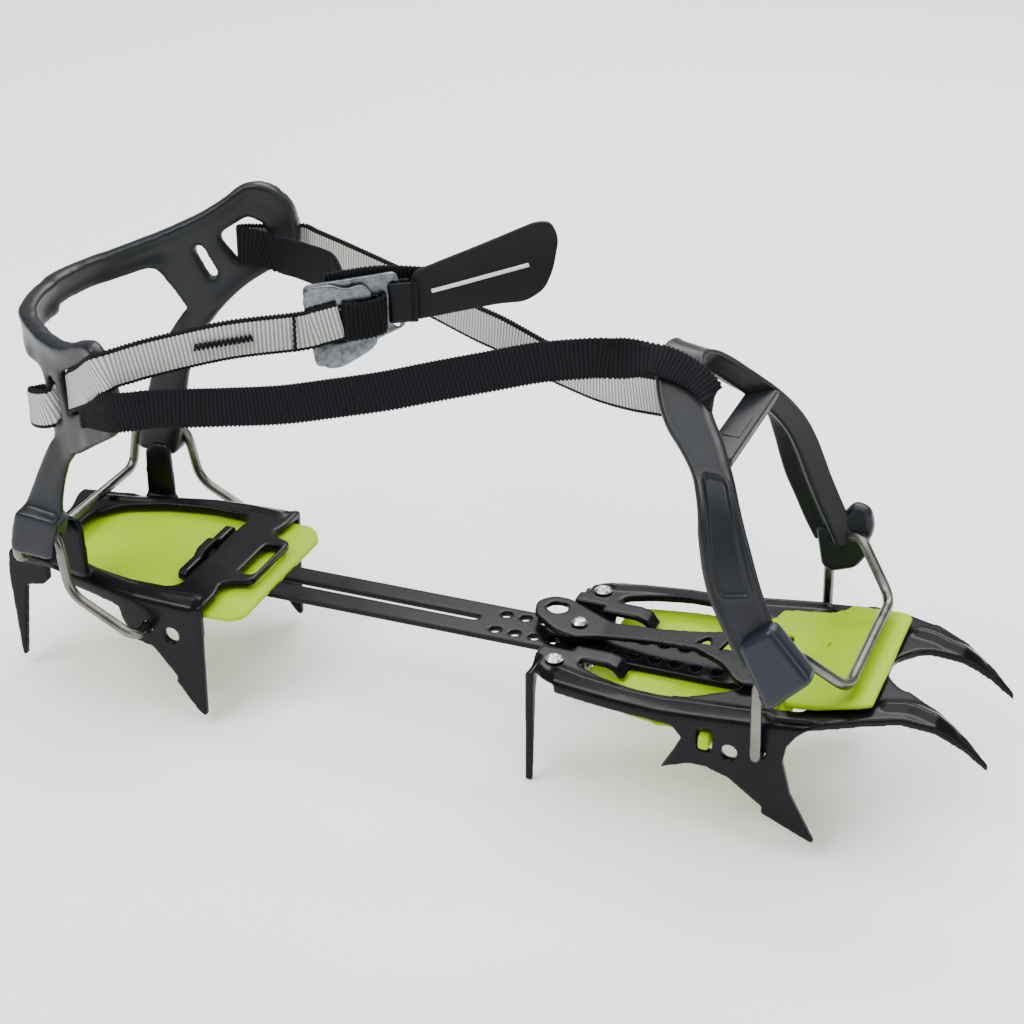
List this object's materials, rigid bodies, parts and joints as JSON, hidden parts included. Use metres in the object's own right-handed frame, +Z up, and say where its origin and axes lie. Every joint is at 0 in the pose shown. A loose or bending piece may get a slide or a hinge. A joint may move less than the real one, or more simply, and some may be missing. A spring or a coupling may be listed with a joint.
{
  "type": "strap-on crampon",
  "caption": "Strap-on mountaineering crampon: pointed toe and heel sections on a linking bar, plastic snow plates, wire bails, moulded baskets and a buckled webbing loop.",
  "frame": {"origin": "middle of the underside of the bounding box, on the plane of the point tips", "axes": "+X towards the toe, +Y to the left side, +Z up"},
  "size_m": [0.3932, 0.1472, 0.2038],
  "materials": {
    "coated_steel": "near-black coated sheet steel with a satin sheen, worn at the edges",
    "snow_plate": "lime green flexible moulded plastic, semi-matt",
    "basket_plastic": "dark slate grey flexible moulded plastic with a satin sheen",
    "wire_steel": "bright bent stainless wire",
    "buckle_steel": "tumbled stamped metal, mottled and rounded",
    "fastener_steel": "bright plated screws and rivets",
    "strap_black": "black ribbed webbing",
    "strap_grey": "light grey ribbed webbing with black edges",
    "tab_black": "black grained tab with a pale printed line"
  },
  "bodies": {
    "toe_section": {"front_frame": "coated_steel", "front_antiball_plate": "snow_plate", "front_screw_left": "fastener_steel", "front_screw_right": "fastener_steel", "blade_rivet_left": "fastener_steel", "blade_rivet_right": "fastener_steel"},
    "lock_blade": {"lock_blade": "coated_steel", "lock_pin": "fastener_steel", "pin_washer": "fastener_steel"},
    "linking_bar": {"linking_bar": "coated_steel"},
    "heel_section": {"heel_frame": "coated_steel", "heel_antiball_plate": "snow_plate"},
    "toe_bail": {"toe_bail": "wire_steel", "toe_basket": "basket_plastic"},
    "heel_bail": {"heel_bail": "wire_steel", "heel_basket": "basket_plastic", "ankle_strap_sewn": "strap_grey", "ankle_strap_free": "strap_black", "buckle_frame": "buckle_steel"},
    "strap_loop": {"strap_right_run": "strap_black", "strap_left_run": "strap_grey"},
    "buckle_clamp": {"buckle_clamp": "buckle_steel"},
    "pull_tab": {"pull_tab": "tab_black"}
  },
  "joints": [
    {"name": "length_adjust", "type": "slide", "parent": "toe_section", "child": "linking_bar", "axis": [1, 0, 0], "range_m": [0, 0.048], "deforming": ["strap_right_run", "strap_left_run"]},
    {"name": "lock_blade_lift", "type": "hinge", "parent": "toe_section", "child": "lock_blade", "pos_m": [0.11215, -0.00336, 0.0555], "axis": [0, 1, 0], "range_deg": [0, 6], "stiffness_Nm_per_rad": 3},
    {"name": "heel_flex", "type": "hinge", "parent": "linking_bar", "child": "heel_section", "pos_m": [-0.12205, -0.00336, 0.0475], "axis": [0, 1, 0], "range_deg": [-1.5, 0]},
    {"name": "heel_bail_tilt", "type": "hinge", "parent": "heel_section", "child": "heel_bail", "pos_m": [-0.12585, -0.00336, 0.0392], "axis": [0, 1, 0], "range_deg": [-2, 5]},
    {"name": "toe_bail_tilt", "type": "hinge", "parent": "toe_section", "child": "toe_bail", "pos_m": [0.11945, -0.00336, 0.041], "axis": [0, 1, 0], "range_deg": [-2, 5]},
    {"name": "strap_follow", "type": "hinge", "parent": "heel_bail", "child": "strap_loop", "pos_m": [-0.11385, -0.00336, 0.1505], "axis": [0, 1, 0], "range_deg": [-7, 3]},
    {"name": "buckle_clamp_open", "type": "hinge", "parent": "heel_bail", "child": "buckle_clamp", "pos_m": [-0.06214, -0.02489, 0.1665], "axis": [0, 0, 1], "range_deg": [-25, 0]},
    {"name": "pull_tab_swing", "type": "hinge", "parent": "heel_bail", "child": "pull_tab", "pos_m": [-0.03495, -0.00656, 0.175], "axis": [0, 0, 1], "range_deg": [-20, 20]}
  ],
  "couplings": [
    {"joint": "toe_bail_tilt", "follows": "heel_bail_tilt", "ratio": 0.967},
    {"joint": "strap_follow", "follows": "heel_bail_tilt", "ratio": -1.282}
  ]
}
